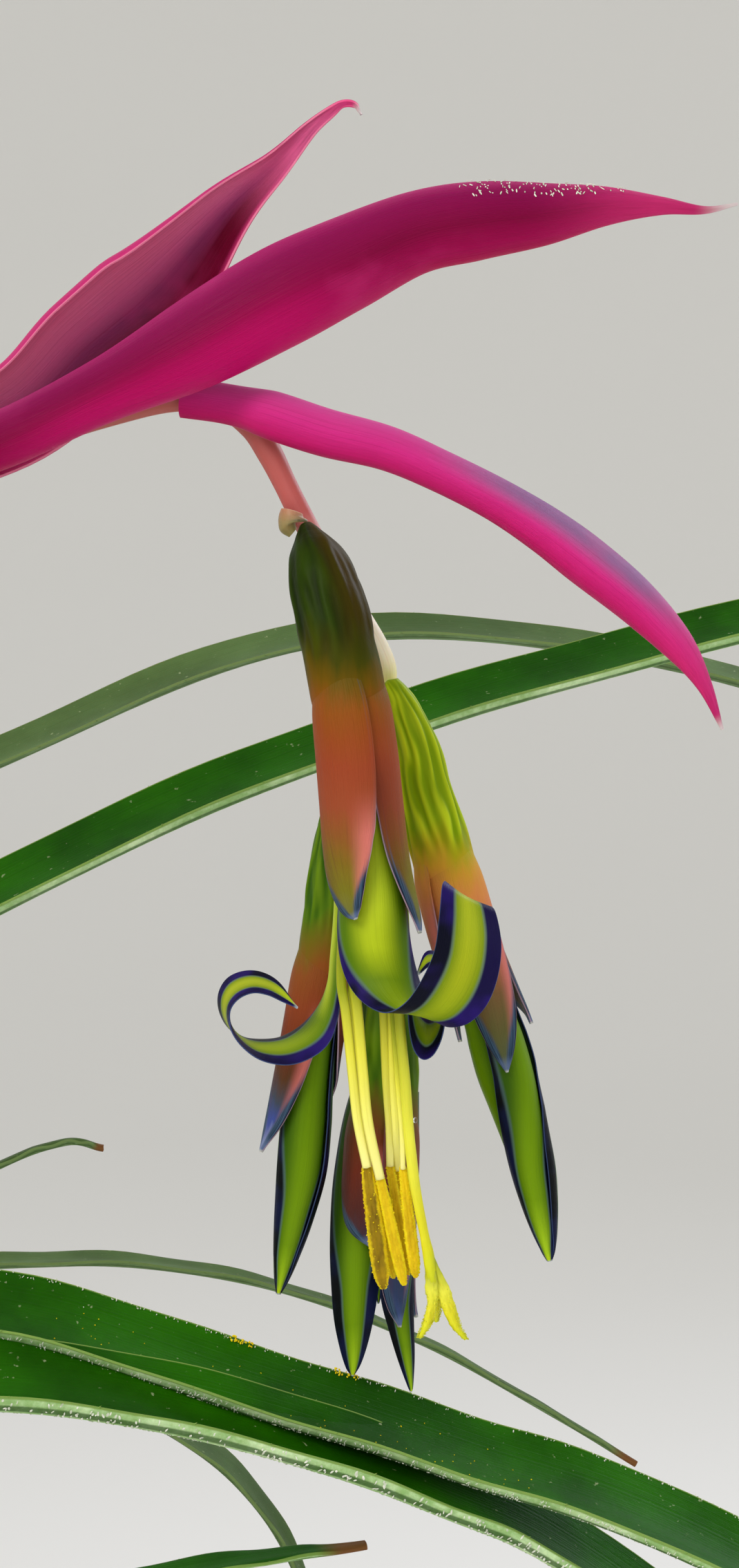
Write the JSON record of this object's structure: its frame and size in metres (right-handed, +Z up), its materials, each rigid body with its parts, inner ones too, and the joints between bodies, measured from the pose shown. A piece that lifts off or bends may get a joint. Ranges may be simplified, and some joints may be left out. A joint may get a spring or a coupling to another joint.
{
  "type": "potted billbergia",
  "caption": "Potted bromeliad with an arching stalk of pink bracts and hanging green, blue-edged flowers above narrow leaves, in a plain clay pot.",
  "frame": {"origin": "centre of the pot's underside, on the surface that the pot stands on", "axes": "+Z up, +X towards the side that the flower stalk arches over, -Y towards the viewer of the flowers"},
  "size_m": [0.5687, 0.4322, 0.3761],
  "materials": {
    "clay": "matt",
    "potting_mix": "rough",
    "green_leaf": "satin",
    "pale_leaf": "satin",
    "stalk": "satin",
    "pink_bract": "satin",
    "ovary": "satin",
    "sepal": "satin",
    "petal": "satin",
    "stamen": "matt",
    "stigma": "satin"
  },
  "bodies": {
    "root": {"pot": "clay", "potting_mix": "potting_mix", "leaf_long_over": "green_leaf", "leaf_long_under": "green_leaf", "leaf_long_lower": "green_leaf", "leaf_back_high": "pale_leaf", "leaf_back_young": "pale_leaf", "leaf_back_middle": "pale_leaf", "leaf_back_low": "pale_leaf", "leaf_front_low": "green_leaf", "leaf_arched_01": "green_leaf", "leaf_arched_02": "green_leaf", "leaf_arched_03": "green_leaf", "leaf_arched_04": "green_leaf", "leaf_arched_05": "green_leaf", "leaf_arched_06": "green_leaf", "leaf_arched_07": "green_leaf", "leaf_arched_08": "green_leaf", "leaf_arched_09": "green_leaf", "leaf_arched_10": "green_leaf", "leaf_arched_11": "green_leaf", "leaf_arched_12": "green_leaf", "leaf_arched_13": "green_leaf", "leaf_arched_14": "green_leaf", "leaf_arched_15": "green_leaf", "leaf_arched_16": "green_leaf", "leaf_arched_17": "green_leaf", "flower_stalk": "stalk", "bract_behind": "pink_bract", "bract_front": "pink_bract", "bract_lower": "pink_bract", "bract_stalk_top": "pink_bract", "bract_stalk_middle": "pink_bract", "bract_stalk_bottom": "pink_bract", "flower_1_ovary": "ovary", "flower_1_sepals": "sepal", "flower_2_ovary": "ovary", "flower_2_sepals": "sepal", "flower_2_petals": "petal", "flower_3_ovary": "ovary", "flower_3_sepals": "sepal", "flower_3_petals": "petal", "flower_4_ovary": "ovary", "flower_4_sepals": "sepal", "flower_4_petals": "petal", "flower_1_petals": "petal", "flower_1_stamens": "stamen", "flower_1_style": "stigma"}
  },
  "joints": []
}
